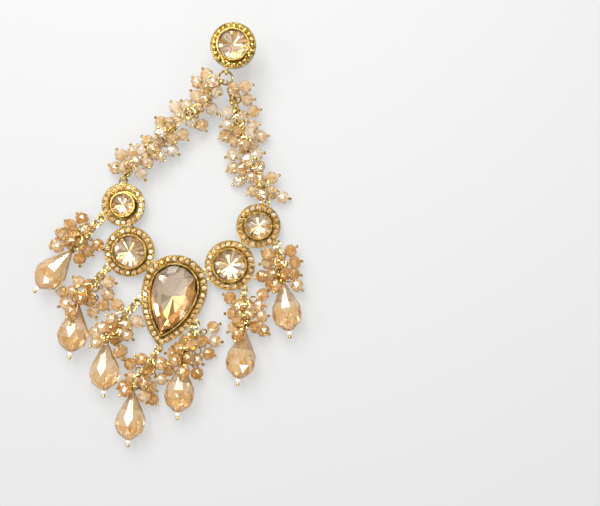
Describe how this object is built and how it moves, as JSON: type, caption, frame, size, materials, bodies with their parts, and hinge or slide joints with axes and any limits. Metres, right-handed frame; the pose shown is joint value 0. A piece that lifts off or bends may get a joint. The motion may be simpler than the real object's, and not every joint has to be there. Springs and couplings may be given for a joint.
{
  "type": "chandelier earring",
  "caption": "Chandelier drop earring with a round stud, two beaded strands and a jewelled bib from which faceted pear drops hang, lying face up.",
  "frame": {"origin": "on the surface the earring lies on, under the centre of the pear setting's round end, at the middle of its flat back", "axes": "+X right and +Y up as pictured, +Y from the drops towards the stud, +Z up from the surface"},
  "size_m": [0.0701, 0.1094, 0.0124],
  "materials": {
    "antique_gold": "antique gold plate, worn bright on the edges",
    "crystal": "foil-backed champagne crystal",
    "drop_glass": "faceted champagne glass",
    "beads": "faceted champagne glass with a pearly coat, on brass wire"
  },
  "bodies": {
    "root": {"stud_setting": "antique_gold", "stud_stone": "crystal", "ear_nut": "antique_gold", "top_jump_ring": "antique_gold", "left_strand": "beads", "right_strand": "beads", "small_left_setting": "antique_gold", "small_left_stone": "crystal", "large_left_setting": "antique_gold", "large_left_stone": "crystal", "large_right_setting": "antique_gold", "large_right_stone": "crystal", "small_right_setting": "antique_gold", "small_right_stone": "crystal", "pear_setting": "antique_gold", "pear_stone": "crystal", "joining_ring_1": "antique_gold", "joining_ring_2": "antique_gold", "joining_ring_3": "antique_gold", "joining_ring_4": "antique_gold", "hang_ring_1": "antique_gold", "cluster_1": "beads", "drop_1": "drop_glass", "hang_ring_2": "antique_gold", "cluster_2": "beads", "drop_2": "drop_glass", "hang_ring_3": "antique_gold", "cluster_3": "beads", "drop_3": "drop_glass", "hang_ring_4": "antique_gold", "cluster_4": "beads", "drop_4": "drop_glass", "hang_ring_5": "antique_gold", "cluster_5": "beads", "drop_5": "drop_glass", "hang_ring_6": "antique_gold", "cluster_6": "beads", "drop_6": "drop_glass", "hang_ring_7": "antique_gold", "cluster_7": "beads", "drop_7": "drop_glass"}
  },
  "joints": []
}
